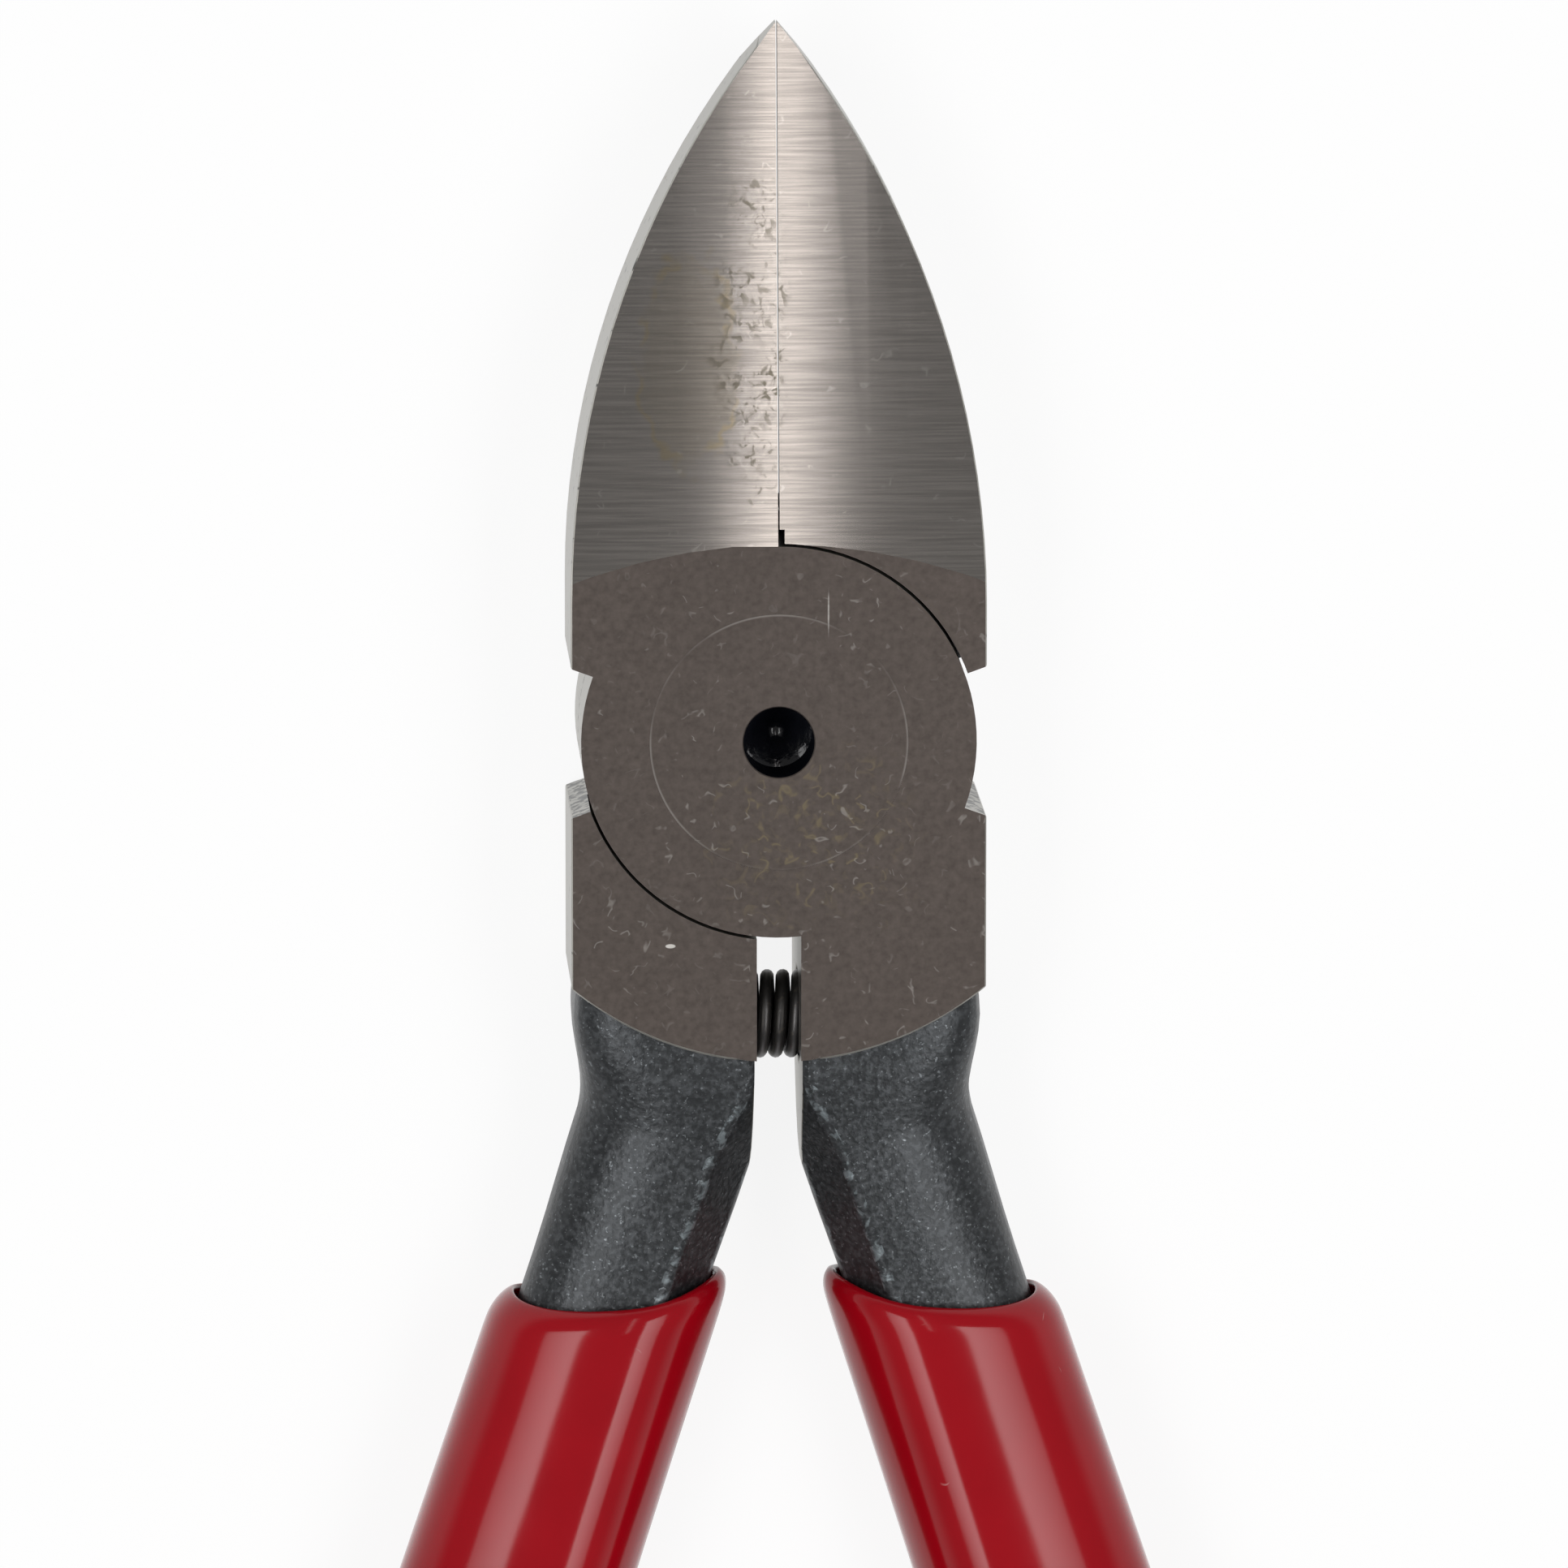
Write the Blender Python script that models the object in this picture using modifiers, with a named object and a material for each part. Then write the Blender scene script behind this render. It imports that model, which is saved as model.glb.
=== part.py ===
"""Gate cutter: side-cutting nippers with two lapped levers on a rivet, a coil spring and two sleeves.

Units are metres. The origin lies on the pivot axis in the plane of the back face. +Y runs to the
jaw tip, +X towards the right-hand handle and +Z out of the ground front face.
"""

from math import cos, pi, radians, sin, tan

import bmesh
import bpy
from mathutils import Matrix, Vector

# Whole tool
OVERALL_LENGTH = 0.150
TIP_REACH = 0.0362            # pivot axis to the tip of the jaws
HEAD_WIDTH = 0.0210
HEAD_THICKNESS = 0.0105
HANDLE_SPREAD = 0.0417        # between the middles of the two handles at their widest

# Lap joint
NOTCH_DEPTH = 0.0005          # the lap discs stand this far inside the sides of the head
NOTCH_ANGLE = 20.0            # degrees from the X axis to each jaw end and handle shoulder
SEAM_CLEARANCE = 0.00015      # round the edge of each lap disc
LAP_CLEARANCE = 0.0001        # between the two lap faces
FLAT_RADIUS = 0.0164          # lower edge of the ground joint flat, about the pivot
HANDLE_GAP = 0.00225          # between the two handle roots

# Jaws
JAW_GAP = 0.00008             # between the cutting edges when shut
JAW_SIDE = 0.0071             # height of the straight side above the pivot
FRONT_SLOPE = 7.0             # degrees, front face towards the tip
FRONT_START = 0.0001          # the slope starts this far above the lap disc
CROWN_RADIUS = 0.230          # of the front face, across the jaws
BACK_SLOPE = 9.0              # degrees, back face towards the tip
BACK_START = 0.0005
EDGE_LAND = 0.0010            # thickness of the cutting edges behind the front face
BEVEL_ANGLE = 31.0            # degrees, half angle of the groove behind the edges
BEVEL_START = 0.0018          # the groove starts this far above the lap disc
ROOT_SLOT_WIDTH = 0.00025     # small relief at the foot of the right jaw's edge
ROOT_SLOT_LENGTH = 0.0007

# Rivet
RIVET_HEAD_RADIUS = 0.0065
RIVET_HEAD_DEPTH = 0.0026
RIVET_RADIUS = 0.0045
RIVET_TAIL_RADIUS = 0.0056
RIVET_TAIL_DEPTH = 0.0011
RIVET_CLEARANCE = 0.00005
CENTRE_HOLE_RADIUS = 0.0018
CENTRE_HOLE_DEPTH = 0.0034
CENTRE_HOLE_POINT = 0.0006    # depth of the drill point below the hole

# Return spring
SPRING_RISE = 0.00155         # its axis lies this far above the foot of the joint flat
SPRING_DIAMETER = 0.00477
SPRING_WIRE = 0.0006
SPRING_TURNS = 9.5
SPRING_POCKET_DEPTH = 0.0045
SPRING_CLEARANCE = 0.0002     # round the coil
SPRING_SEAT_GAP = 0.00015     # at each pocket floor

# Shanks and tangs
SHANK_STEP = 0.0003           # the forged shank lies this far below each ground face
SHANK_SETBACK = 0.0001        # and this far behind the handle root's inner face and outer side
ROOT_COVER = 0.0008           # the shank starts this far outside the lap disc
SHOULDER_RISE = 0.0020        # its widest place lies this far above the foot of the joint flat
WAIST_FALL = 0.0015           # its waist lies this far below the foot of the joint flat
WAIST_CUT = 0.00055           # the waist is this much narrower than the head, each side
KNEE_FALL = 0.0060            # the knee lies this far below the foot of the joint flat
KNEE_GAP = 0.00265            # between the two knees
KNEE_WIDTH = 0.0092
KNEE_STEP = 0.0008            # the knee lies this far below each ground face
SHANK_WIDTH = 0.0089
RIDGE_WIDTH = 0.00212         # sloping facet along the inner edge
RIDGE_START = 0.0004          # its width at the waist
INNER_LAND = 0.0030           # flat inner face between the two facets
ROOT_FULLNESS = 6.0           # how square the rounded outer side is: 2 is an ellipse
WAIST_FULLNESS = 3.6
TANG_FULLNESS = 2.7
HANDLE_LEAN = 18.0            # degrees outwards from the knee
BOW_RADIUS = 0.120            # of the bowed part below the straight one
END_LEAN = 4.0                # degrees back inwards at the end of the handle
TANG_END = 0.005              # the tang stops this far before the end of its sleeve

# Handle sleeves
GRIP_WALL = 0.0011
GRIP_CLEARANCE = 0.0002
GRIP_RELIEF = 0.00005         # the sleeves stand this far inside the planes of the ground faces
GRIP_MOUTH = 0.0078           # knee to the sleeve's mouth, along the handle
MOUTH_TILT = 24.0             # degrees, the inner side of the mouth stands higher
MOUTH_DIP = 0.0010            # the mouth is cut lower on its front and back
MOUTH_FADE = 0.012            # length over which the mouth's tilt dies out
LIP_LENGTH = 0.0035           # taper of the wall towards the mouth
LIP_WALL = 0.0005             # wall at the mouth
GRIP_PALM = 0.045             # knee to the widest place
GRIP_PALM_WIDTH = 0.0122
GRIP_END_WIDTH = 0.0114
GRIP_END_ROUND = 0.0045

# Mesh fineness
DISC_STEPS = 96               # facets on a full turn of a lap disc
RIVET_STEPS = 64
POCKET_STEPS = 32
JAW_STEPS = 20
CROWN_STEPS = 18
SIDE_STEPS = 7                # facets on a quarter of a rib
RIB_STEPS = 4                 # ribs between two set ribs of the shank
TANG_PITCH = 0.006            # between ribs along the tang
COIL_POINTS = 10              # points on one curl of the spring
LIP_STEPS = 4
END_STEPS = 5
WELD = 0.000001
CUTTER_LENGTH = 0.120         # of the tools that shape the jaws

DISC_RADIUS = HEAD_WIDTH / 2 - NOTCH_DEPTH
MID_HEIGHT = HEAD_THICKNESS / 2
SLEEVE_WALL = GRIP_WALL + GRIP_CLEARANCE
TANG_THICKNESS = HEAD_THICKNESS - 2 * (SLEEVE_WALL + GRIP_RELIEF)
KNEE_THICKNESS = HEAD_THICKNESS - 2 * KNEE_STEP
SPRING_DROP = FLAT_RADIUS - SPRING_RISE
SPRING_FLOOR = HANDLE_GAP / 2 + SPRING_POCKET_DEPTH


def add_collection(name):
    collection = bpy.data.collections.new(name)
    bpy.context.scene.collection.children.link(collection)
    return collection


def add_material(name, colour, roughness, metallic):
    material = bpy.data.materials.new(name)
    material.use_nodes = True
    shader = material.node_tree.nodes["Principled BSDF"]
    shader.inputs["Base Color"].default_value = (*colour, 1.0)
    shader.inputs["Roughness"].default_value = roughness
    shader.inputs["Metallic"].default_value = metallic
    return material


def add_mesh(name, bm, collection):
    """A new object from a bmesh, faces pointing out, smooth except at real edges."""
    bmesh.ops.recalc_face_normals(bm, faces=bm.faces)
    mesh = bpy.data.meshes.new(name)
    bm.to_mesh(mesh)
    bm.free()
    mesh.shade_smooth()
    mesh.set_sharp_from_angle(angle=radians(30))
    thing = bpy.data.objects.new(name, mesh)
    collection.objects.link(thing)
    return thing


def curve_solid(name, curve, collection):
    """A curve made into one closed mesh object."""
    drawn = bpy.data.objects.new(name + "_curve", curve)
    bpy.context.scene.collection.objects.link(drawn)
    evaluated = drawn.evaluated_get(bpy.context.evaluated_depsgraph_get())
    drawn_mesh = bpy.data.meshes.new_from_object(evaluated)
    bm = bmesh.new()
    bm.from_mesh(drawn_mesh)
    bmesh.ops.remove_doubles(bm, verts=bm.verts, dist=WELD)
    solid = add_mesh(name, bm, collection)
    solid.matrix_world = drawn.matrix_world
    bpy.data.objects.remove(drawn)
    bpy.data.meshes.remove(drawn_mesh)
    bpy.data.curves.remove(curve)
    return solid


def prism(name, outline, thickness, collection):
    """A flat outline in XY, extruded to both sides of its plane."""
    curve = bpy.data.curves.new(name, "CURVE")
    curve.dimensions = "2D"
    curve.fill_mode = "BOTH"
    curve.extrude = thickness / 2
    spline = curve.splines.new("POLY")
    spline.points.add(len(outline) - 1)
    for point, (x, y) in zip(spline.points, outline):
        point.co = (x, y, 0.0, 1.0)
    spline.use_cyclic_u = True
    return curve_solid(name, curve, collection)


def turned(name, profile, collection):
    """A profile of (radius, height) points, top to bottom, turned about the Z axis."""
    mesh = bpy.data.meshes.new(name)
    edges = [(k, k + 1) for k in range(len(profile) - 1)]
    mesh.from_pydata([(radius, 0.0, height) for radius, height in profile], edges, [])
    thing = bpy.data.objects.new(name, mesh)
    collection.objects.link(thing)
    screw = thing.modifiers.new("turn", "SCREW")
    screw.steps = RIVET_STEPS
    screw.render_steps = RIVET_STEPS
    screw.use_merge_vertices = True
    screw.merge_threshold = WELD
    return thing


def loft(name, rings, collection):
    """A closed skin through rings of equally many points, capped at both ends."""
    bm = bmesh.new()
    rows = [[bm.verts.new(point) for point in ring] for ring in rings]
    for row, following in zip(rows, rows[1:]):
        for k in range(len(row)):
            bm.faces.new((row[k - 1], row[k], following[k], following[k - 1]))
    bm.faces.new(rows[0])
    bm.faces.new(rows[-1])
    return add_mesh(name, bm, collection)


def combine(body, other, operation):
    """Cuts another solid out of a body, or joins it on, and leaves the other as a guide."""
    change = body.modifiers.new(other.name, "BOOLEAN")
    change.operation = operation
    change.object = other
    other.hide_render = True
    other.display_type = "WIRE"


def arc(radius, start, end, steps, centre=(0.0, 0.0)):
    """Points along an arc, angles in radians, both ends included."""
    angles = [start + (end - start) * k / steps for k in range(steps + 1)]
    return [(centre[0] + radius * cos(a), centre[1] + radius * sin(a)) for a in angles]


def disc_arc(start, end):
    return arc(DISC_RADIUS, start, end, max(2, round(abs(end - start) / (2 * pi) * DISC_STEPS)))


def height_on(radius, across):
    """Distance from the pivot along Y to where a circle about it has a given X."""
    return (radius ** 2 - across ** 2) ** 0.5


def lever_outline():
    """Outline of the front lever: left jaw, lap disc and right handle root."""
    half_width = HEAD_WIDTH / 2
    half_jaw = JAW_GAP / 2
    half_gap = HANDLE_GAP / 2
    notch = radians(NOTCH_ANGLE)
    rise = TIP_REACH - JAW_SIDE
    run = half_width - half_jaw
    jaw_radius = (rise ** 2 + run ** 2) / (2 * run)
    jaw_turn = Vector((jaw_radius - run, rise)).angle(Vector((1.0, 0.0)))
    jaw_top = Vector((-half_jaw, height_on(DISC_RADIUS, half_jaw)))
    gap_top = Vector((half_gap, -height_on(DISC_RADIUS, half_gap)))
    up, right = Vector((0.0, 1.0)), Vector((1.0, 0.0))
    points = disc_arc(pi / 2 + jaw_top.angle(up), -notch)
    points.append((half_width, -half_width * tan(notch)))
    flat_side = Vector((half_width, -height_on(FLAT_RADIUS, half_width))).angle(right)
    flat_gap = Vector((half_gap, -height_on(FLAT_RADIUS, half_gap))).angle(right)
    points += arc(FLAT_RADIUS, -flat_side, -flat_gap, JAW_STEPS)
    points += disc_arc(-gap_top.angle(right), -pi - notch)
    points.append((-half_width, half_width * tan(notch)))
    points += arc(jaw_radius, pi, pi - jaw_turn, JAW_STEPS, (jaw_radius - half_width, JAW_SIDE))
    return points


def mirrored(points, side):
    return [(x * side, y) for x, y in points]


def along_jaw(tilt, start, height):
    """Turns a prism so that it runs along the jaws, rising by tilt degrees from a line across."""
    turn = Matrix.Rotation(radians(90.0 + tilt), 4, "X")
    return Matrix.Translation((0.0, start, height)) @ turn


def crown_cutter(collection):
    """What is ground off the front: a sloping face, slightly crowned across the jaws."""
    half_angle = HEAD_WIDTH / CROWN_RADIUS
    outline = arc(CROWN_RADIUS, pi / 2 + half_angle, pi / 2 - half_angle, CROWN_STEPS,
                  (0.0, -CROWN_RADIUS))
    outline += [(outline[-1][0], HEAD_THICKNESS), (outline[0][0], HEAD_THICKNESS)]
    cutter = prism("crown_cutter", outline, CUTTER_LENGTH, collection)
    cutter.matrix_world = along_jaw(-FRONT_SLOPE, DISC_RADIUS + FRONT_START, HEAD_THICKNESS)
    return cutter


def back_cutter(collection):
    """What is ground off the back, sloping up towards the tip."""
    outline = [(-HEAD_WIDTH, 0.0), (HEAD_WIDTH, 0.0),
               (HEAD_WIDTH, -HEAD_THICKNESS), (-HEAD_WIDTH, -HEAD_THICKNESS)]
    cutter = prism("back_cutter", outline, CUTTER_LENGTH, collection)
    cutter.matrix_world = along_jaw(BACK_SLOPE, DISC_RADIUS + BACK_START, 0.0)
    return cutter


def bevel_cutter(collection):
    """The groove behind the cutting edges, parallel to the front face."""
    drop = HEAD_THICKNESS + EDGE_LAND
    spread = HEAD_THICKNESS * tan(radians(BEVEL_ANGLE))
    outline = [(0.0, -EDGE_LAND), (spread, -drop), (-spread, -drop)]
    cutter = prism("bevel_cutter", outline, CUTTER_LENGTH, collection)
    start = DISC_RADIUS + BEVEL_START
    height = HEAD_THICKNESS - (BEVEL_START - FRONT_START) * tan(radians(FRONT_SLOPE))
    forward = Matrix.Translation((0.0, 0.0, -CUTTER_LENGTH / 2))
    cutter.matrix_world = along_jaw(-FRONT_SLOPE, start, height) @ forward
    return cutter


def disc_cutter(name, low, high, collection):
    """Room for the other lever's lap disc, between two heights."""
    bm = bmesh.new()
    radius = DISC_RADIUS + SEAM_CLEARANCE
    place = Matrix.Translation((0.0, 0.0, (low + high) / 2))
    bmesh.ops.create_cone(bm, cap_ends=True, segments=DISC_STEPS, radius1=radius, radius2=radius,
                          depth=high - low, matrix=place)
    return add_mesh(name, bm, collection)


def slot_cutter(collection):
    """The relief at the foot of the right jaw's edge."""
    bm = bmesh.new()
    size = Matrix.Diagonal((2 * ROOT_SLOT_WIDTH + JAW_GAP, 2 * ROOT_SLOT_LENGTH, 2 * HEAD_THICKNESS, 1.0))
    place = Matrix.Translation((0.0, DISC_RADIUS + SEAM_CLEARANCE, HEAD_THICKNESS + MID_HEIGHT))
    bmesh.ops.create_cube(bm, size=1.0, matrix=place @ size)
    return add_mesh("slot_cutter", bm, collection)


def pocket_cutter(name, side, collection):
    """The drilled seat of the spring in one handle root."""
    bm = bmesh.new()
    radius = SPRING_DIAMETER / 2 + SPRING_CLEARANCE
    turn = Matrix.Rotation(pi / 2, 4, "Y")
    place = Matrix.Translation((side * SPRING_FLOOR / 2, -SPRING_DROP, MID_HEIGHT))
    bmesh.ops.create_cone(bm, cap_ends=True, segments=POCKET_STEPS, radius1=radius, radius2=radius,
                          depth=SPRING_FLOOR, matrix=place @ turn)
    return add_mesh(name, bm, collection)


def rivet_bore(collection):
    """The rivet's own profile with running clearance, open past both faces."""
    head = RIVET_HEAD_RADIUS + RIVET_CLEARANCE
    body = RIVET_RADIUS + RIVET_CLEARANCE
    tail = RIVET_TAIL_RADIUS + RIVET_CLEARANCE
    under_head = HEAD_THICKNESS - RIVET_HEAD_DEPTH - RIVET_CLEARANCE
    past = RIVET_TAIL_DEPTH
    flare = RIVET_TAIL_RADIUS - RIVET_RADIUS
    profile = [(0.0, HEAD_THICKNESS + past), (head, HEAD_THICKNESS + past), (head, under_head),
               (body, under_head), (body, RIVET_TAIL_DEPTH), (tail + flare, -past), (0.0, -past)]
    return turned("rivet_bore", profile, collection)


def eased(value, start, end):
    """Rises smoothly from 0 at start to 1 at end."""
    share = min(1.0, max(0.0, (value - start) / (end - start)))
    return share * share * (3.0 - 2.0 * share)


def handle_frame(distance):
    """Centre and crosswise direction of the right handle, a distance past the knee."""
    lean = radians(HANDLE_LEAN)
    cross = Vector((cos(lean), sin(lean)))
    knee = Vector((KNEE_GAP / 2, -FLAT_RADIUS - KNEE_FALL))
    centre = knee + cross * KNEE_WIDTH / 2
    bow_run = BOW_RADIUS * (1.0 - cos(lean))
    straight = min(distance, (HANDLE_SPREAD / 2 - centre.x - bow_run) / sin(lean))
    centre += Vector((sin(lean), -cos(lean))) * straight
    bow_turn = lean + radians(END_LEAN)
    turn = min(bow_turn, (distance - straight) / BOW_RADIUS)
    end = lean - turn
    centre += BOW_RADIUS * Vector((cos(end) - cos(lean), sin(end) - sin(lean)))
    rest = distance - straight - turn * BOW_RADIUS
    return centre + Vector((sin(end), -cos(end))) * rest, Vector((cos(end), sin(end)))


def handle_length():
    """Distance from the knee to the end of the sleeve that gives the overall length."""
    short, long = 0.0, OVERALL_LENGTH
    end_height = TIP_REACH - OVERALL_LENGTH
    for _ in range(50):
        middle = (short + long) / 2
        if handle_frame(middle)[0].y > end_height:
            short = middle
        else:
            long = middle
    return short


HANDLE_LENGTH = handle_length()


def tang_rib(distance):
    """Width, thickness, ridge, land and fullness of the tang, a distance past the knee."""
    palm_width = GRIP_PALM_WIDTH - 2 * SLEEVE_WALL
    width = KNEE_WIDTH + (SHANK_WIDTH - KNEE_WIDTH) * eased(distance, 0.0, GRIP_MOUTH)
    width += (palm_width - SHANK_WIDTH) * eased(distance, GRIP_MOUTH, GRIP_PALM)
    width += (GRIP_END_WIDTH - GRIP_PALM_WIDTH) * eased(distance, GRIP_PALM, HANDLE_LENGTH)
    thickness = KNEE_THICKNESS + (TANG_THICKNESS - KNEE_THICKNESS) * eased(distance, 0.0, GRIP_MOUTH)
    return width, thickness, RIDGE_WIDTH, INNER_LAND, TANG_FULLNESS


def rib_outline(width, thickness, ridge, land, fullness):
    """(across, up) points from the inner front ridge, over the rounded outer side and back."""
    upper = []
    for step in range(SIDE_STEPS + 1):
        turn = pi / 2 * step / SIDE_STEPS
        across = ridge + (width - ridge) * sin(turn) ** (2 / fullness)
        up = thickness / 2 * abs(cos(turn)) ** (2 / fullness)
        upper.append((across - width / 2, up))
    lower = [(across, -up) for across, up in reversed(upper[:-1])]
    return upper + lower + [(-width / 2, -land / 2), (-width / 2, land / 2)]


def grown(outline, distance):
    """A clockwise outline with each of its sides moved outwards."""
    points = [Vector(point) for point in outline]
    result = []
    for k, here in enumerate(points):
        first = (here - points[k - 1]).normalized()
        second = (points[(k + 1) % len(points)] - here).normalized()
        out = Vector((-first.y - second.y, first.x + second.x))
        result.append(here + out * distance / (1.0 + first.dot(second)))
    return result


def root_ribs():
    """The forged shank from inside the head to the knee, as inner and outer points and a rib's sizes."""
    inner = HANDLE_GAP / 2 + SHANK_SETBACK
    widest = HEAD_WIDTH / 2 - SHANK_SETBACK
    narrowest = HEAD_WIDTH / 2 - WAIST_CUT
    root = -DISC_RADIUS - SEAM_CLEARANCE - ROOT_COVER
    shoulder = SHOULDER_RISE - FLAT_RADIUS
    waist = -WAIST_FALL - FLAT_RADIUS
    thick = HEAD_THICKNESS - 2 * SHANK_STEP
    land = thick - 2 * RIDGE_START
    ribs = [(inner, root, narrowest, root, thick, RIDGE_START, land, ROOT_FULLNESS),
            (inner, shoulder, widest, shoulder, thick, RIDGE_START, land, ROOT_FULLNESS),
            (inner, waist, narrowest, waist, thick, RIDGE_START, land, WAIST_FULLNESS)]
    for distance in (0.0, GRIP_MOUTH / RIB_STEPS):
        width, *sizes = tang_rib(distance)
        centre, cross = handle_frame(distance)
        ribs.append((*(centre - cross * width / 2), *(centre + cross * width / 2), *sizes))
    return ribs


def between(ribs, index, share):
    """A rib between two set ribs, on a smooth curve through the run of them."""
    run = [ribs[max(0, min(k, len(ribs) - 1))] for k in range(index - 1, index + 3)]
    rib = []
    for a, b, c, d in zip(*run):
        bend = (2 * a - 5 * b + 4 * c - d) * share ** 2 + (3 * b - a - 3 * c + d) * share ** 3
        rib.append(b + ((c - a) * share + bend) / 2)
    return rib


def shank(name, side, collection):
    """The forged part of one handle, from inside the head to the end of the tang."""
    set_ribs = root_ribs()
    knee = len(set_ribs) - 2
    rings = []
    for index in range(knee):
        for step in range(RIB_STEPS):
            x0, y0, x1, y1, *sizes = between(set_ribs, index, step / RIB_STEPS)
            inner, outer = Vector((x0, y0)), Vector((x1, y1))
            cross = (outer - inner).normalized()
            outline = rib_outline((outer - inner).length, *sizes)
            rings.append(placed(outline, (inner + outer) / 2, cross, side))
    for distance in tang_stations():
        centre, cross = handle_frame(distance)
        rings.append(placed(rib_outline(*tang_rib(distance)), centre, cross, side))
    return loft(name, rings, collection)


def placed(outline, centre, cross, side, slide=None):
    """An (across, up) outline set square across the handle, with a slide along it for each point."""
    along = Vector((cross.y, -cross.x))
    ring = []
    for k, (across, up) in enumerate(outline):
        spot = centre + cross * across
        if slide:
            spot = spot + along * slide[k]
        ring.append((side * spot.x, spot.y, MID_HEIGHT + up))
    return ring


def tang_stations():
    """Distances past the knee of the ribs from the knee to the end of the tang."""
    end = HANDLE_LENGTH - TANG_END
    near = [GRIP_MOUTH * k / RIB_STEPS for k in range(RIB_STEPS)]
    count = round((end - GRIP_MOUTH) / TANG_PITCH)
    return near + [GRIP_MOUTH + (end - GRIP_MOUTH) * k / count for k in range(count + 1)]


def mouth_slide(outline, distance):
    """How far each point of a sleeve ring slides along the handle, for the mouth's slanting cut."""
    fade = 1.0 - eased(distance, GRIP_MOUTH, GRIP_MOUTH + MOUTH_FADE)
    top = max(up for _, up in outline)
    slope = tan(radians(MOUTH_TILT))
    return [fade * (across * slope + MOUTH_DIP * (up / top) ** 2) for across, up in outline]


def sleeve(name, side, collection):
    """A handle sleeve: cavity from its floor to the mouth, over the lip, then the outside to the end."""
    rings = []

    def add_ring(distance, growth, shrink=1.0):
        centre, cross = handle_frame(distance)
        outline = [point * shrink for point in grown(rib_outline(*tang_rib(distance)), growth)]
        rings.append(placed(outline, centre, cross, side, mouth_slide(outline, distance)))

    covered = [distance for distance in tang_stations() if distance > GRIP_MOUTH + LIP_LENGTH]
    add_ring(covered[-1] + GRIP_CLEARANCE, GRIP_CLEARANCE)
    for distance in reversed(covered[:-1]):
        add_ring(distance, GRIP_CLEARANCE)
    add_ring(GRIP_MOUTH, GRIP_CLEARANCE)
    for step in range(LIP_STEPS):
        share = step / LIP_STEPS
        wall = LIP_WALL + (GRIP_WALL - LIP_WALL) * sin(share * pi / 2)
        add_ring(GRIP_MOUTH + share * share * LIP_LENGTH, GRIP_CLEARANCE + wall)
    for distance in [GRIP_MOUTH + LIP_LENGTH] + covered[:-1]:
        add_ring(distance, SLEEVE_WALL)
    round_share = 2 * GRIP_END_ROUND / HEAD_THICKNESS
    for step in range(END_STEPS + 1):
        turn = pi / 2 * step / END_STEPS
        distance = HANDLE_LENGTH - GRIP_END_ROUND * (1.0 - sin(turn))
        add_ring(distance, SLEEVE_WALL, 1.0 - round_share * (1.0 - cos(turn)))
    return loft(name, rings, collection)


def spring_points():
    """Centre line of the wire, a helix along X between the two pocket floors."""
    half = SPRING_FLOOR - SPRING_SEAT_GAP - SPRING_WIRE / 2
    radius = (SPRING_DIAMETER - SPRING_WIRE) / 2
    count = round(SPRING_TURNS * COIL_POINTS)
    points = []
    for k in range(count + 1):
        turn = 2 * pi * SPRING_TURNS * k / count
        x = -half + 2 * half * k / count
        points.append(Vector((x, -SPRING_DROP + radius * cos(turn), MID_HEIGHT + radius * sin(turn))))
    return points


def spring(name, collection):
    points = spring_points()
    apart = COIL_POINTS // 2
    closest = min((a - b).length for k, a in enumerate(points) for b in points[k + apart:])
    print(f"{name}: least gap between its turns {1000 * (closest - SPRING_WIRE):.2f} mm")
    curve = bpy.data.curves.new(name, "CURVE")
    curve.dimensions = "3D"
    curve.bevel_depth = SPRING_WIRE / 2
    curve.bevel_resolution = 1
    curve.use_fill_caps = True
    wire = curve.splines.new("POLY")
    wire.points.add(len(points) - 1)
    for spot, point in zip(wire.points, points):
        spot.co = (*point, 1.0)
    return curve_solid(name, curve, collection)


def rivet(name, collection):
    """The pivot: head flush with the front face, peened tail flush with the back, blind centre hole."""
    top = HEAD_THICKNESS
    hole_floor = top - CENTRE_HOLE_DEPTH
    profile = [(0.0, hole_floor - CENTRE_HOLE_POINT), (CENTRE_HOLE_RADIUS, hole_floor),
               (CENTRE_HOLE_RADIUS, top), (RIVET_HEAD_RADIUS, top),
               (RIVET_HEAD_RADIUS, top - RIVET_HEAD_DEPTH), (RIVET_RADIUS, top - RIVET_HEAD_DEPTH),
               (RIVET_RADIUS, RIVET_TAIL_DEPTH), (RIVET_TAIL_RADIUS, 0.0), (0.0, 0.0)]
    return turned(name, profile, collection)


def lever(name, side, lap_room, cutters, collection, guides):
    """One forging: jaw, half lap and handle, with side +1 for a handle on the right."""
    body = prism(name, mirrored(lever_outline(), side), HEAD_THICKNESS, collection)
    body.location.z = MID_HEIGHT
    combine(body, shank(name + "_shank", side, guides), "UNION")
    combine(body, lap_room, "DIFFERENCE")
    for cutter in cutters:
        combine(body, cutter, "DIFFERENCE")
    combine(body, pocket_cutter(name + "_pocket", side, guides), "DIFFERENCE")
    return body


for leftover in list(bpy.data.objects):
    bpy.data.objects.remove(leftover)

tool = add_collection("gate_cutter")
guides = add_collection("gate_cutter_guides")

steel = add_material("ground_steel", (0.22, 0.20, 0.19), 0.35, 1.0)
rivet_steel = add_material("rivet_steel", (0.20, 0.19, 0.18), 0.35, 1.0)
spring_steel = add_material("black_spring_steel", (0.02, 0.02, 0.02), 0.30, 0.6)
red_plastic = add_material("red_plastic", (0.40, 0.008, 0.014), 0.18, 0.0)

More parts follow.
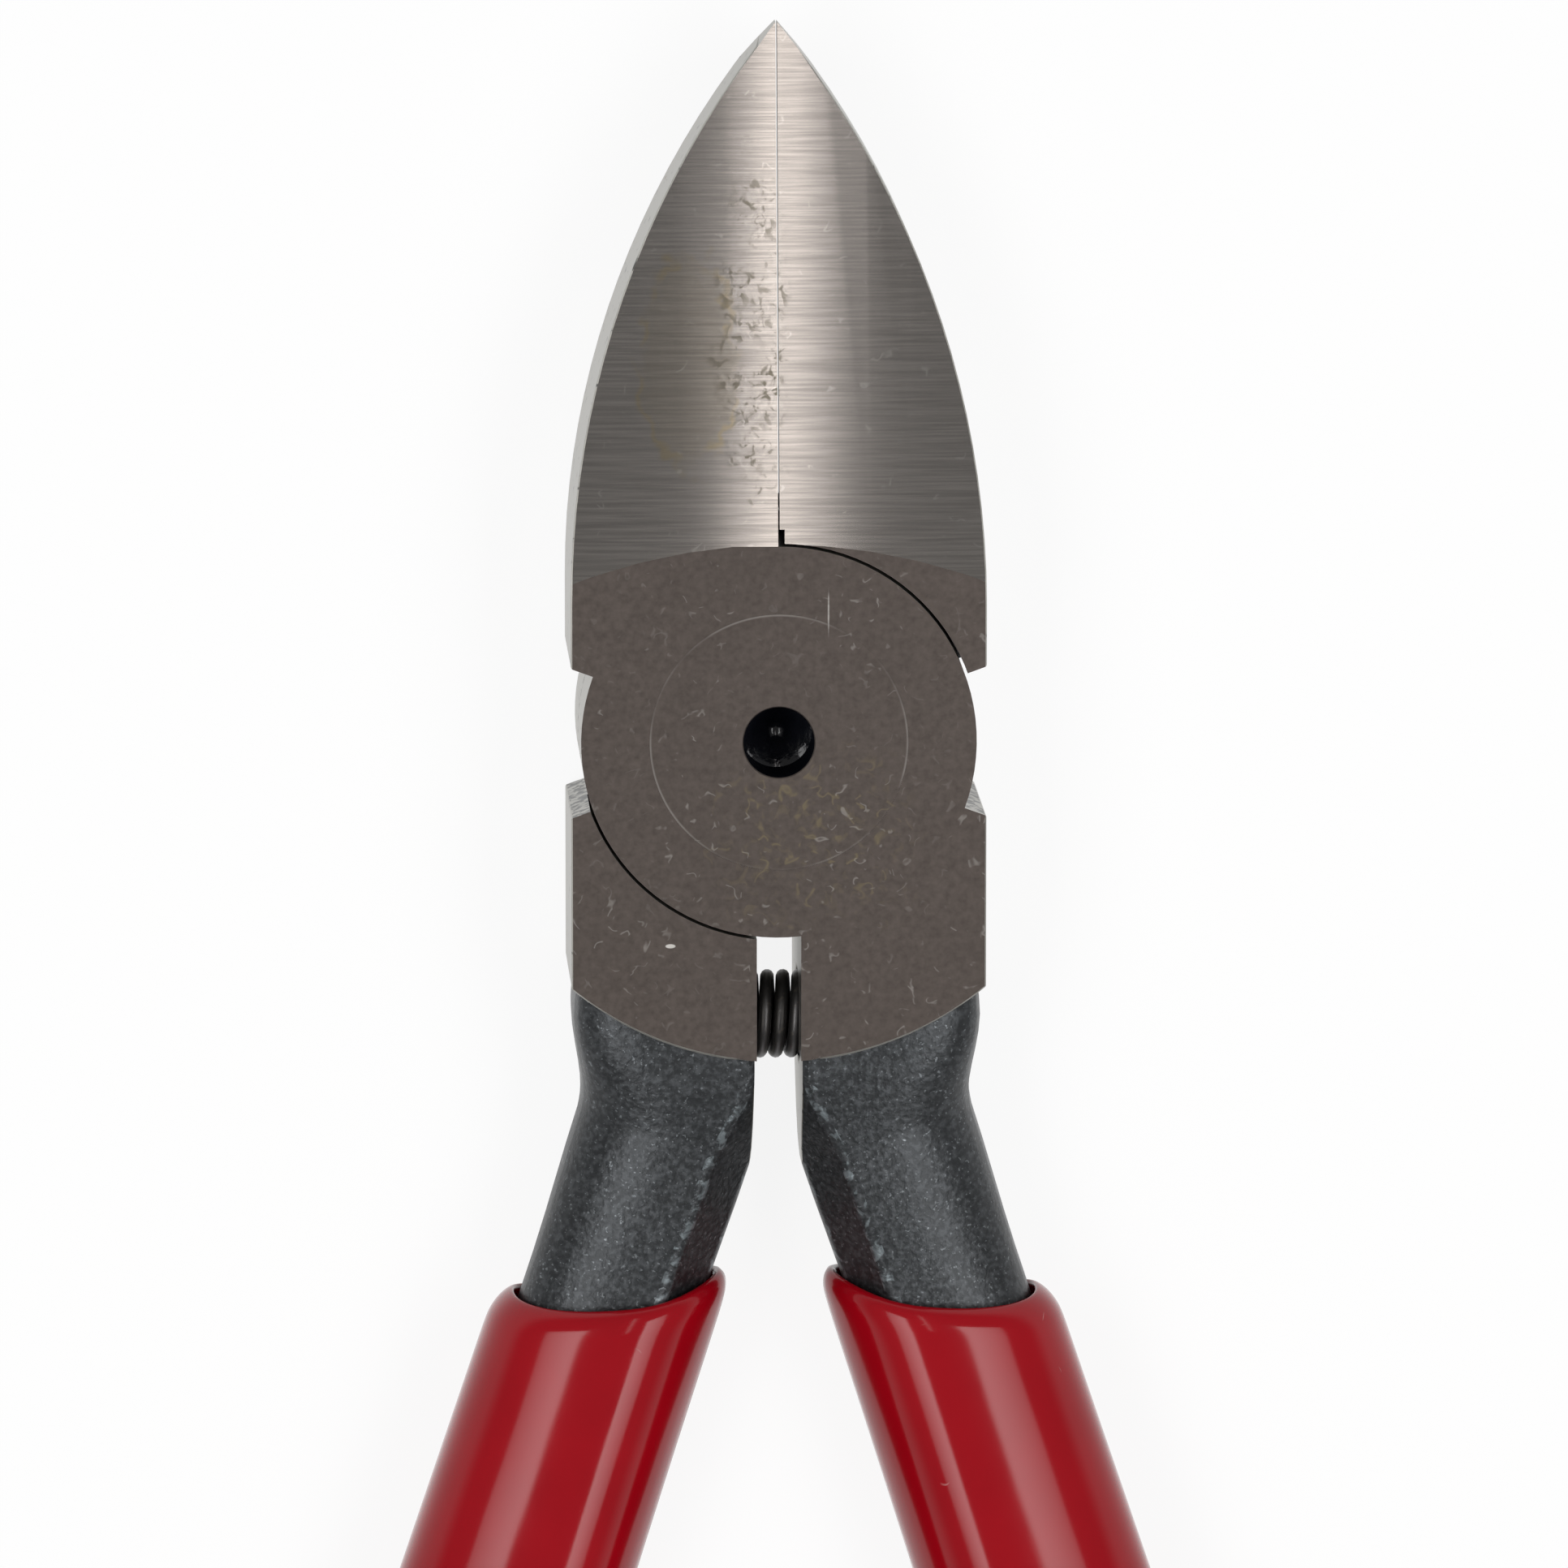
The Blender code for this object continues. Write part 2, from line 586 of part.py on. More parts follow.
shared_cutters = [crown_cutter(guides), back_cutter(guides), bevel_cutter(guides), rivet_bore(guides)]
half_gap = LAP_CLEARANCE / 2
behind = disc_cutter("room_behind", -HEAD_THICKNESS, MID_HEIGHT + half_gap, guides)
before = disc_cutter("room_before", MID_HEIGHT - half_gap, 2 * HEAD_THICKNESS, guides)

front_lever = lever("front_lever", 1, behind, shared_cutters, tool, guides)
front_lever.data.materials.append(steel)
right_grip = sleeve("right_grip", 1, tool)
right_grip.data.materials.append(red_plastic)

rear_lever = lever("rear_lever", -1, before, shared_cutters + [slot_cutter(guides)], tool, guides)
rear_lever.data.materials.append(steel)
left_grip = sleeve("left_grip", -1, tool)
left_grip.data.materials.append(red_plastic)

pivot_rivet = rivet("pivot_rivet", tool)
pivot_rivet.data.materials.append(rivet_steel)
return_spring = spring("return_spring", tool)
return_spring.data.materials.append(spring_steel)

# The rear lever and its sleeve turn together about the rivet.
rear_pivot = bpy.data.objects.new("rear_pivot", None)
tool.objects.link(rear_pivot)
rear_lever.parent = rear_pivot
left_grip.parent = rear_pivot
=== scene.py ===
"""Looks of the gate cutter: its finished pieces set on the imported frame, with floor, light and camera.

Units are metres. The origin lies on the pivot axis in the plane of the back face. +Y runs to the
jaw tip, +X towards the right-hand handle and +Z out of the ground front face.
"""

from math import cos, pi, radians, sin, tan

import bmesh
import bpy
from mathutils import Matrix, Vector


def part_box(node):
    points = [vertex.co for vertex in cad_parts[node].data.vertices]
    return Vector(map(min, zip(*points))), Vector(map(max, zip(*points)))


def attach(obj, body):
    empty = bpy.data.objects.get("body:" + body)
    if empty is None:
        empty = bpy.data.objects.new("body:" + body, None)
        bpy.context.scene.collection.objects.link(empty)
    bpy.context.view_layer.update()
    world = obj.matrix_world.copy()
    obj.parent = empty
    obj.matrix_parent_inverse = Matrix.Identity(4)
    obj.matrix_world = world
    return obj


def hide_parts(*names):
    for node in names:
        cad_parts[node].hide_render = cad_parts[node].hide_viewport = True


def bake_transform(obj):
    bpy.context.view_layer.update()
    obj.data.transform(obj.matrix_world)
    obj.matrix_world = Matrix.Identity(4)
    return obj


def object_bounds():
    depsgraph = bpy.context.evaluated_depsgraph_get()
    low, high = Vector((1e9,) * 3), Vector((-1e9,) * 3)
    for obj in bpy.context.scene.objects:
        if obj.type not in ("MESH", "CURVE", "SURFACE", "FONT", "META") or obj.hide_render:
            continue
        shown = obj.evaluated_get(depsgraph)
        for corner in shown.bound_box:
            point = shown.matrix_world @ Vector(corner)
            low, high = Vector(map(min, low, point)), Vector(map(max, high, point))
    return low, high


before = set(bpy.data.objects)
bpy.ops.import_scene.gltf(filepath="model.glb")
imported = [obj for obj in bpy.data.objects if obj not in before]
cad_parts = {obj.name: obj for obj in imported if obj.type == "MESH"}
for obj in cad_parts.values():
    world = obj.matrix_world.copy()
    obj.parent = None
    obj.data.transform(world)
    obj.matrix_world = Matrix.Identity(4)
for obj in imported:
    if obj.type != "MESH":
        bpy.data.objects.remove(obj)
cad_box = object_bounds()

# Levers
# Two drop forgings of tool steel, each a jaw, half of the lap joint and a handle in one piece. The
# jaws and joint faces are ground, the sides milled, and the shanks keep their dark forging skin.

EDGE_ROUND = 0.00007          # wear along the edges, except the cutting ones
FORGED_ROUND = 0.0004         # and along the ridges of the forged shanks
EDGE_ANGLE = radians(28)      # faces that meet more steeply than this have an edge
SAME_PLANE = radians(0.2)
GRIND_ANGLE = radians(5)      # where grinding has cut into the forging skin, this much makes an edge
SLIVER = 0.00012              # points of the forging closer than this are one point
SAME_POINT = 0.000001
CRISP_RADIUS = 0.0104         # edges that come nearer the pivot than this stay crisp
JAW_FOOT = 0.0101             # the jaws start this far from the pivot
CUTTING_EDGE = 0.0006         # half the breadth along the jaws' meeting line that holds only their edges
KNEE = -0.0224                # below this the shank's inner face is forged too
NOTCH_FLOOR = 0.0090          # the notches at the sides of the head are cut in to here
JAW_FACE_RISE = 0.3           # upright part of a normal: more than this on the jaws' ground faces
JOINT_FACE_RISE = 0.9999      # on the joint faces
WALL_RISE = 0.02              # and less than this on the milled walls
NOTCH_WALL_TURN = 0.5         # part of a notch wall's normal that runs along the tool, at least
GAP_CORNER = Vector((0.0013, -0.0165))   # where the gap between the levers meets the shank, crisp too
CORNER_REACH = 0.0007

GROUND_STEEL = (0.360, 0.335, 0.312)
JOINT_STEEL = (0.092, 0.077, 0.069)
MILLED_STEEL = (0.395, 0.386, 0.356)
FORGED_SKIN = (0.029, 0.031, 0.033)
# colour of the painted glints: pale flecks that stand in for points of light on the scale
PAINTED_SKIN_GLINT = (0.34, 0.37, 0.39)
# skin worn pale by handling; this colour is also a painted glint
RUBBED_SKIN_AND_GLINT = (0.150, 0.172, 0.182)
OLD_OIL = (0.185, 0.152, 0.088)
GRIME = (0.125, 0.112, 0.078)
RUST = (0.16, 0.055, 0.022)
BRIGHT_STEEL = (0.50, 0.48, 0.45)

OIL_PLACE = (-0.0045, 0.0193)     # a drop dried on the left jaw
OIL_REACH = (0.0024, 0.0054)
GRIME_PLACE = (-0.0013, 0.0210)   # beside the cutting edges
GRIME_REACH = (0.0019, 0.0085)
CREEP_PLACE = (0.0018, -0.0048)   # oil crept out from under the rivet
CREEP_REACH = (0.0055, 0.0048)
NICK_PLACE = (-0.0055, -0.0104)
NICK_REACH = (0.00026, 0.00011)
DRAG_PLACE = (0.0025, 0.0066)     # one long scratch above the rivet
DRAG_REACH = (0.00006, 0.0014)


class Finish:
    """A material whose colour, gloss and fine relief follow places on the piece."""

    def __init__(self, name, **shader_values):
        self.material = bpy.data.materials.new(name)
        self.material.use_nodes = True
        self.nodes = self.material.node_tree.nodes
        self.links = self.material.node_tree.links
        self.shader = self.nodes["Principled BSDF"]
        self.places = self.nodes.new("ShaderNodeTexCoord").outputs["Object"]
        for key, value in shader_values.items():
            self.feed(self.shader.inputs[key.replace("_", " ")], value)

    def feed(self, socket, value):
        """Sets a socket to a number or colour, or links it to another node's output."""
        if isinstance(value, bpy.types.NodeSocket):
            self.links.new(value, socket)
        elif isinstance(value, tuple) and socket.type == "RGBA":
            socket.default_value = (*value, 1.0)
        else:
            socket.default_value = value

    def node(self, kind, inputs, **settings):
        """Adds a node, sets it up and feeds its inputs."""
        made = self.nodes.new(kind)
        for key, value in settings.items():
            setattr(made, key, value)
        for key, value in inputs.items():
            self.feed(made.inputs[key], value)
        return made

    def stretched(self, across, along, up):
        """Places on the piece, counted in steps per metre that differ by direction."""
        scale = {"Vector": self.places, "Scale": (across, along, up)}
        return self.node("ShaderNodeMapping", scale).outputs["Vector"]

    def away(self, place, reach):
        """Distance over the face from a place, counted in reaches across and along the tool."""
        shift = (-place[0] / reach[0], -place[1] / reach[1], 0.0)
        scale = (1.0 / reach[0], 1.0 / reach[1], 0.0)
        spot = self.node("ShaderNodeMapping", {"Vector": self.places, "Location": shift, "Scale": scale})
        spot = {"Vector": spot.outputs["Vector"]}
        return self.node("ShaderNodeVectorMath", spot, operation="LENGTH").outputs["Value"]

    def grain(self, scale, detail=2.0, places=None, distortion=0.0):
        """Cloudy noise from 0 to 1, with about scale clouds to the metre."""
        inputs = {"Vector": places or self.places, "Scale": scale, "Detail": detail,
                  "Distortion": distortion}
        return self.node("ShaderNodeTexNoise", inputs).outputs[0]

    def dots(self, scale, size, share):
        """1 on scattered dots, which are a share of about scale dots to the metre, and 0 elsewhere."""
        cells = self.node("ShaderNodeTexVoronoi", {"Vector": self.places, "Scale": scale})
        near = self.rise(cells.outputs["Distance"], size, 0.6 * size)
        pick = self.node("ShaderNodeSeparateColor", {"Color": cells.outputs["Color"]})
        return self.times(near, self.rise(pick.outputs["Red"], 1.0 - share, 1.01 - share))

    def rise(self, value, start, end):
        """0 up to start, 1 from end on, and a smooth step between them."""
        inputs = {"Value": value, "From Min": start, "From Max": end}
        made = self.node("ShaderNodeMapRange", inputs, interpolation_type="SMOOTHSTEP")
        return made.outputs["Result"]

    def between(self, value, low, high):
        """A value from 0 to 1 stretched to run from low to high."""
        inputs = {"Value": value, "To Min": low, "To Max": high}
        return self.node("ShaderNodeMapRange", inputs).outputs["Result"]

    def reckoned(self, operation, first, second):
        """A sum on two values, named as the node names it."""
        return self.node("ShaderNodeMath", {0: first, 1: second}, operation=operation).outputs["Value"]

    def plus(self, first, second):
        return self.reckoned("ADD", first, second)

    def minus(self, first, second):
        return self.reckoned("SUBTRACT", first, second)

    def times(self, first, second):
        return self.reckoned("MULTIPLY", first, second)

    def most(self, first, second):
        return self.reckoned("MAXIMUM", first, second)

    def line(self, value, middle, width):
        """1 where a value passes through middle, falling to 0 on both sides."""
        gap = self.minus(value, middle)
        return self.rise(self.most(gap, self.times(gap, -1.0)), width, 0.0)

    def mixed(self, share, first, second):
        """A colour that goes from first to second as share goes from 0 to 1."""
        made = self.node("ShaderNodeMix", {}, data_type="RGBA")
        factor, first_colour, second_colour = (made.inputs[k] for k in (0, 6, 7))
        self.feed(factor, share)
        self.feed(first_colour, first)
        self.feed(second_colour, second)
        return made.outputs[2]

    def coloured(self, colour):
        self.feed(self.shader.inputs["Base Color"], colour)

    def roughened(self, roughness):
        self.feed(self.shader.inputs["Roughness"], roughness)

    def embossed(self, height, depth):
        """Relief on the surface, depth metres high where height is 1."""
        bump = self.node("ShaderNodeBump", {"Height": height, "Distance": depth})
        self.feed(self.shader.inputs["Normal"], bump.outputs["Normal"])


def scaled(colour, factor):
    return tuple(factor * part for part in colour)


def scratches(finish, scale, width, share):
    """Short curled scratches: pieces of the outlines of a cloudy noise."""
    curl = finish.line(finish.grain(scale, 1.0, distortion=0.6), 0.5, width)
    pieces = finish.rise(finish.grain(1.7 * scale, 0.0), 1.0 - share, 1.08 - share)
    return finish.times(curl, pieces)


def ground_jaw():
    """Ground steel: fine lines across the jaws, a dried drop of oil, grime along the cutting edges."""
    finish = Finish("ground_jaw", Metallic=1.0, Anisotropic=0.8)
    lines = finish.rise(finish.grain(1.0, 2.0, finish.stretched(240.0, 8500.0, 240.0)), 0.22, 0.78)
    passes = finish.grain(1.0, 2.0, finish.stretched(40.0, 700.0, 40.0))
    steel = finish.mixed(lines, scaled(GROUND_STEEL, 0.74), scaled(GROUND_STEEL, 1.20))
    steel = finish.mixed(finish.between(passes, 0.0, 0.5), steel, scaled(GROUND_STEEL, 0.88))
    ragged = finish.between(finish.grain(700.0, 3.0), -0.45, 0.45)
    shore = finish.plus(finish.away(OIL_PLACE, OIL_REACH), ragged)
    oil = finish.rise(shore, 1.08, 0.80)
    tide = finish.times(finish.line(shore, 1.0, 0.10), finish.rise(finish.grain(420.0), 0.42, 0.60))
    colour = finish.mixed(finish.times(oil, 0.26), steel, OLD_OIL)
    colour = finish.mixed(finish.times(tide, 0.55), colour, scaled(OLD_OIL, 2.0))
    dirty = finish.rise(finish.plus(finish.away(GRIME_PLACE, GRIME_REACH), ragged), 1.15, 0.70)
    dirty = finish.times(dirty, finish.rise(finish.grain(460.0), 0.36, 0.62))
    blots = finish.grain(1900.0, 4.0, distortion=0.8)
    pits = finish.times(dirty, finish.rise(blots, 0.52, 0.64))
    colour = finish.mixed(finish.times(pits, 0.8), colour, GRIME)
    bare = finish.times(dirty, finish.rise(blots, 0.48, 0.36))
    colour = finish.mixed(finish.times(bare, 0.25), colour, BRIGHT_STEEL)
    marks = finish.most(scratches(finish, 800.0, 0.03, 0.33), finish.dots(900.0, 0.09, 0.05))
    finish.coloured(finish.mixed(finish.times(marks, 0.5), colour, BRIGHT_STEEL))
    dull = finish.plus(finish.times(oil, 0.03), finish.times(pits, 0.05))
    finish.roughened(finish.plus(finish.between(lines, 0.155, 0.135), dull))
    finish.embossed(finish.plus(lines, finish.times(blots, finish.times(dirty, 1.6))), 0.0000005)
    turn = finish.node("ShaderNodeTangent", {}, direction_type="RADIAL", axis="X")
    finish.feed(finish.shader.inputs["Tangent"], turn.outputs["Tangent"])
    return finish.material


def joint_face(name, ring=None):
    """Ground joint face, gone dull and brownish, with short curled scratches, specks and crept-out oil.

    A ring is a paler broken line at that radius from the pivot.
    """
    finish = Finish(name, Metallic=1.0)
    haze = finish.grain(3200.0, 4.0)
    steel = finish.mixed(haze, scaled(JOINT_STEEL, 0.66), scaled(JOINT_STEEL, 1.35))
    clouds = finish.grain(170.0, 3.0)
    steel = finish.mixed(finish.between(clouds, 0.0, 0.4), steel, scaled(JOINT_STEEL, 0.78))
    ragged = finish.between(finish.grain(500.0, 3.0), -0.5, 0.5)
    creep = finish.rise(finish.plus(finish.away(CREEP_PLACE, CREEP_REACH), ragged), 1.25, 0.45)
    oil = finish.times(finish.rise(finish.grain(1500.0, 2.0, distortion=0.9), 0.55, 0.68), creep)
    oil = finish.most(finish.times(oil, 0.35), finish.times(scratches(finish, 800.0, 0.05, 0.48), creep))
    steel = finish.mixed(finish.times(oil, 0.5), steel, OLD_OIL)
    marks = finish.most(scratches(finish, 1000.0, 0.040, 0.39), finish.dots(1300.0, 0.09, 0.03))
    busy = finish.most(creep, finish.rise(clouds, 0.46, 0.62))
    marks = finish.times(marks, finish.between(busy, 0.05, 0.23))
    nick = finish.rise(finish.away(NICK_PLACE, NICK_REACH), 1.1, 0.8)
    drag = finish.times(finish.rise(finish.away(DRAG_PLACE, DRAG_REACH), 1.0, 0.3), haze)
    marks = finish.most(marks, finish.most(nick, drag))
    if ring:
        # a paler broken line painted where the rivet's rim meets its bore
        rim_line = finish.line(finish.away((0.0, 0.0), (ring, ring)), 1.0, 0.014)
        rim_line = finish.times(rim_line, finish.rise(finish.grain(260.0), 0.34, 0.62))
        marks = finish.most(marks, finish.times(rim_line, 0.22))
    finish.coloured(finish.mixed(marks, steel, BRIGHT_STEEL))
    finish.roughened(finish.between(haze, 0.38, 0.48))
    finish.embossed(finish.minus(haze, marks), 0.000002)
    return finish.material


def milled_wall(name, bare):
    """Milled walls: pale steel with cutter lines, a little rust and dark spots of uncut forging skin.

    The larger bare is, the fewer dark spots are left.
    """
    finish = Finish(name, Metallic=1.0)
    lines = finish.grain(1.0, 3.0, finish.stretched(2600.0, 160.0, 2600.0))
    steel = finish.mixed(lines, scaled(MILLED_STEEL, 0.84), scaled(MILLED_STEEL, 1.12))
    spots = finish.rise(finish.grain(1900.0, 3.0, distortion=0.4), bare, bare + 0.10)
    steel = finish.mixed(finish.times(spots, 0.8), steel, FORGED_SKIN)
    finish.coloured(finish.mixed(finish.dots(1300.0, 0.22, 0.04), steel, RUST))
    finish.roughened(finish.between(lines, 0.30, 0.42))
    finish.embossed(finish.minus(lines, spots), 0.000003)
    return finish.material


def forged_skin(name, rubbed):
    """Forging skin: dark slate-grey scale with a rough grain, and pale flecks painted into its colour as
    glints.

    The larger rubbed is, the more of the skin is worn bright by handling; the pale colour of these
    patches is also a painted glint.
    """
    finish = Finish(name, Metallic=0.7)
    grain = finish.grain(3300.0, 4.0)
    lumps = finish.grain(650.0, 3.0)
    skin = finish.mixed(lumps, scaled(FORGED_SKIN, 0.75), scaled(FORGED_SKIN, 1.30))
    skin = finish.mixed(finish.rise(grain, 0.40, 0.72), skin, scaled(FORGED_SKIN, 2.2))
    # painted glints: pale flecks in the skin's colour that stand in for light glinting off the scale
    painted_glints = finish.rise(finish.grain(5200.0, 3.0), 0.61, 0.71)
    # patches worn bright by handling, partly painted glint: their pale colour also stands in for light
    # catching the scale
    worn = finish.rise(finish.grain(1500.0, 4.0, distortion=0.5), 0.76 - rubbed, 0.90 - rubbed)
    skin = finish.mixed(worn, skin, RUBBED_SKIN_AND_GLINT)
    painted_glints = finish.times(painted_glints, finish.between(lumps, 0.0, 0.6))
    finish.coloured(finish.mixed(painted_glints, skin, PAINTED_SKIN_GLINT))
    finish.roughened(finish.between(grain, 0.26, 0.50))
    finish.embossed(finish.plus(grain, lumps), 0.000034)
    return finish.material


# the rounded ridges of the shanks get more of the worn patches, partly a painted glint line along them
LEVER_FINISHES = [ground_jaw(), joint_face("joint_face"), milled_wall("milled_side", 0.63),
                  forged_skin("forged_skin", 0.0), milled_wall("notch_wall", 0.44),
                  forged_skin("rubbed_glinting_ridge", 0.27)]
JAW, JOINT, MILLED, SKIN, NOTCH, RIDGE = range(len(LEVER_FINISHES))


def finish_of(face, top):
    """Which of the lever finishes a face has."""
    middle = face.calc_center_median()
    normal = face.normal
    if middle.y > JAW_FOOT:
        return JAW if abs(normal.z) > JAW_FACE_RISE else MILLED
    if abs(normal.z) > JOINT_FACE_RISE and (middle.z > top - SLIVER or middle.z < SLIVER):
        return JOINT
    if abs(normal.z) > WALL_RISE or middle.y < KNEE:
        return SKIN
    return NOTCH if abs(normal.y) > NOTCH_WALL_TURN and abs(middle.x) > NOTCH_FLOOR else MILLED


def edge_kind(edge):
    """How an edge is worn: "forged", "worn", or None where it keeps its form."""
    finishes = {face.material_index for face in edge.link_faces}
    middle = (edge.verts[0].co + edge.verts[1].co) / 2
    if edge.calc_face_angle(0.0) < (GRIND_ANGLE if finishes == {JOINT, SKIN} else EDGE_ANGLE):
        return None
    if middle.y > JAW_FOOT and abs(middle.x) < CUTTING_EDGE:
        return None
    for point in edge.verts:
        corner = Vector((abs(point.co.x), point.co.y)) - GAP_CORNER
        if point.co.xy.length < CRISP_RADIUS or corner.length < CORNER_REACH:
            return None
    if finishes <= {SKIN, RIDGE}:
        return "forged" if edge.calc_length() > FORGED_ROUND else None
    return "worn"


def piece_from(bm, name, materials):
    """A smoothly shaded piece in the scene, made of a bmesh that is freed."""
    mesh = bpy.data.meshes.new(name)
    bm.to_mesh(mesh)
    bm.free()
    mesh.shade_smooth()
    for material in materials:
        mesh.materials.append(material)
    piece = bpy.data.objects.new(name, mesh)
    bpy.context.scene.collection.objects.link(piece)
    return piece


def finished_lever(name, node):
    """The forging with its flat faces joined up, its edges worn round and its faces finished."""
    bm = bmesh.new()
    bm.from_mesh(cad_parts[node].data)
    bottom, top = (corner.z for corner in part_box(node))
    bmesh.ops.remove_doubles(bm, verts=bm.verts, dist=SLIVER)
    bmesh.ops.dissolve_limit(bm, angle_limit=SAME_PLANE, verts=bm.verts, edges=bm.edges)
    for face in bm.faces:
        face.material_index = finish_of(face, top)
    wear = (("forged", FORGED_ROUND, 3, RIDGE), ("worn", EDGE_ROUND, 2, MILLED))
    for kind, offset, steps, finish in wear:
        edges = [edge for edge in bm.edges if edge_kind(edge) == kind]
        bmesh.ops.bevel(bm, geom=edges, offset=offset, segments=steps, profile=0.5, affect="EDGES",
                        clamp_overlap=False, material=finish)
    bmesh.ops.dissolve_degenerate(bm, edges=bm.edges, dist=SAME_POINT)
    for point in bm.verts:
        point.co.z = min(max(point.co.z, bottom), top)
    for edge in bm.edges:
        finishes = {face.material_index for face in edge.link_faces}
        joined = len(finishes) == 1 or finishes == {SKIN, RIDGE}
        edge.smooth = joined and edge.calc_face_angle(0.0) < EDGE_ANGLE
    lever = piece_from(bm, name, LEVER_FINISHES)
    even = lever.modifiers.new("even_shading", "WEIGHTED_NORMAL")
    even.keep_sharp = True
    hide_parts(node)
    return lever


front_lever = finished_lever("front_lever_finished", "front_lever")
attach(front_lever, "front_half")
rear_lever = finished_lever("rear_lever_finished", "rear_lever")
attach(rear_lever, "rear_half")

# Rivet
# The pivot, turned from steel: its head is ground flush with the front face and its tail peened over
# at the back. The blind centre hole from the lathe is coloured nearly black inside.

RIVET_ROUND = 0.00001         # of the rim at each end
RIVET_FIT = 0.00005           # the head is spread this far, out to the wall of its bore
RING_INSET = 0.00005          # the paler ring lies this far inside the rim
RIVET_HEAD_DEPTH = 0.0026
RIVET_BODY = 0.0045
RIVET_TAIL = 0.0056
RIVET_TAIL_DEPTH = 0.0011
HOLE_RADIUS = 0.0018
HOLE_DEPTH = 0.0034
HOLE_POINT = 0.0006           # depth of the drill point below the hole
HOLE_RIM = 0.00005            # chamfer at the mouth of the hole
PIP_RADIUS = 0.0005           # pit left by the centre drill at the bottom
PIP_DEPTH = 0.0004
RIVET_STEPS = 128
# colour painted inside the centre hole, darker than the steel
HOLE_BLACK = (0.004, 0.0045, 0.007)


def turned(profile):
    """A profile of (radius, height) points turned about the pivot axis, as a bmesh."""
    bm = bmesh.new()
    points = [bm.verts.new((radius, 0.0, height)) for radius, height in profile]
    edges = [bm.edges.new(pair) for pair in zip(points, points[1:])]
    bmesh.ops.spin(bm, geom=points + edges, cent=(0.0, 0.0, 0.0), axis=(0.0, 0.0, 1.0), angle=2 * pi,
                   steps=RIVET_STEPS, use_merge=True)
    bmesh.ops.remove_doubles(bm, verts=bm.verts, dist=SAME_POINT)
    bmesh.ops.recalc_face_normals(bm, faces=bm.faces)
    return bm


def dark_hole_lining():
    """Nearly black, slightly bluish and glossy, with a lumpy surface."""
    finish = Finish("dark_hole_lining")
    lumps = finish.grain(1500.0, 3.0)
    finish.coloured(finish.mixed(lumps, scaled(HOLE_BLACK, 0.5), scaled(HOLE_BLACK, 1.6)))
    finish.roughened(finish.between(lumps, 0.05, 0.16))
    finish.embossed(lumps, 0.00003)
    return finish.material


def finished_rivet():
    low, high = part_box("pivot_rivet")
    head = high.x + RIVET_FIT
    top = high.z
    floor = top - HOLE_DEPTH
    profile = [(0.0, floor - HOLE_POINT - PIP_DEPTH), (PIP_RADIUS, floor - HOLE_POINT),
               (HOLE_RADIUS, floor), (HOLE_RADIUS, top - HOLE_RIM), (HOLE_RADIUS + HOLE_RIM, top),
               (head - RIVET_ROUND, top), (head, top - RIVET_ROUND),
               (head, top - RIVET_HEAD_DEPTH), (RIVET_BODY, top - RIVET_HEAD_DEPTH),
               (RIVET_BODY, RIVET_TAIL_DEPTH), (RIVET_TAIL, RIVET_ROUND),
               (RIVET_TAIL - RIVET_ROUND, low.z), (0.0, low.z)]
    bm = turned(profile)
    for face in bm.faces:
        middle = face.calc_center_median()
        inside = middle.xy.length < HOLE_RADIUS and middle.z > RIVET_TAIL_DEPTH
        face.material_index = int(inside)     # 1 is the nearly black lining of the hole
    materials = [joint_face("rivet_face", head - RING_INSET), dark_hole_lining()]
    rivet = piece_from(bm, "pivot_rivet_finished", materials)
    rivet.data.set_sharp_from_angle(angle=EDGE_ANGLE)
    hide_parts("pivot_rivet")
    return rivet


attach(finished_rivet(), "front_half")

# Return spring
# A compression spring of black music wire, closed at both ends. It sits in a pocket drilled into each
# lever and pushes the handles apart, lengthening on the tool as they open; here it is not attached to
# either lever.

SPRING_WIRE = 0.00070
SPRING_TURNS = 13.0
CLOSED_TURNS = 1.5            # at each end, lying against each other
CLOSED_PITCH = 1.02 * SPRING_WIRE
TURN_POINTS = 28
WIRE_ROUNDING = 4             # gives the wire twelve sides
WIRE_END_ANGLE = radians(60)  # the cut ends of the wire keep an edge
SPRING_SEAT = 0.0001          # of room at the pocket floors, half of it at each end
BLACK_OXIDE = (0.082, 0.079, 0.079)
RUBBED_OXIDE = (0.17, 0.15, 0.13)


def spring_line():
    """Centre line of the wire, from the right pocket's floor to the left one's."""
    low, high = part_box("return_spring")
    middle = (low + high) / 2
    radius = (high.z - low.z - SPRING_WIRE) / 2
    half = (high.x - low.x) / 2 - SPRING_SEAT / 2 - SPRING_WIRE / 2
    open_turns = SPRING_TURNS - 2 * CLOSED_TURNS
    pitch = 2 * (half - CLOSED_TURNS * CLOSED_PITCH) / open_turns
    points = []
    count = round(SPRING_TURNS * TURN_POINTS)
    for k in range(count + 1):
        turns = SPRING_TURNS * k / count
        before = min(turns, CLOSED_TURNS) + max(0.0, turns - SPRING_TURNS + CLOSED_TURNS)
        opened = min(max(0.0, turns - CLOSED_TURNS), open_turns)
        x = middle.x + half - before * CLOSED_PITCH - opened * pitch
        turn = 2 * pi * turns
        points.append(Vector((x, middle.y + radius * cos(turn), middle.z + radius * sin(turn))))
    return points


def black_wire():
    """Black oxide on drawn wire: nearly black and glossy, rubbed a little brown in places."""
    finish = Finish("black_wire", Metallic=0.8)
    clouds = finish.grain(1400.0, 3.0)
    rubbed = finish.rise(finish.grain(2600.0, 2.0), 0.60, 0.74)
    finish.coloured(finish.mixed(finish.times(rubbed, 0.6), BLACK_OXIDE, RUBBED_OXIDE))
    finish.roughened(finish.between(clouds, 0.28, 0.46))
    finish.embossed(clouds, 0.000006)
    return finish.material


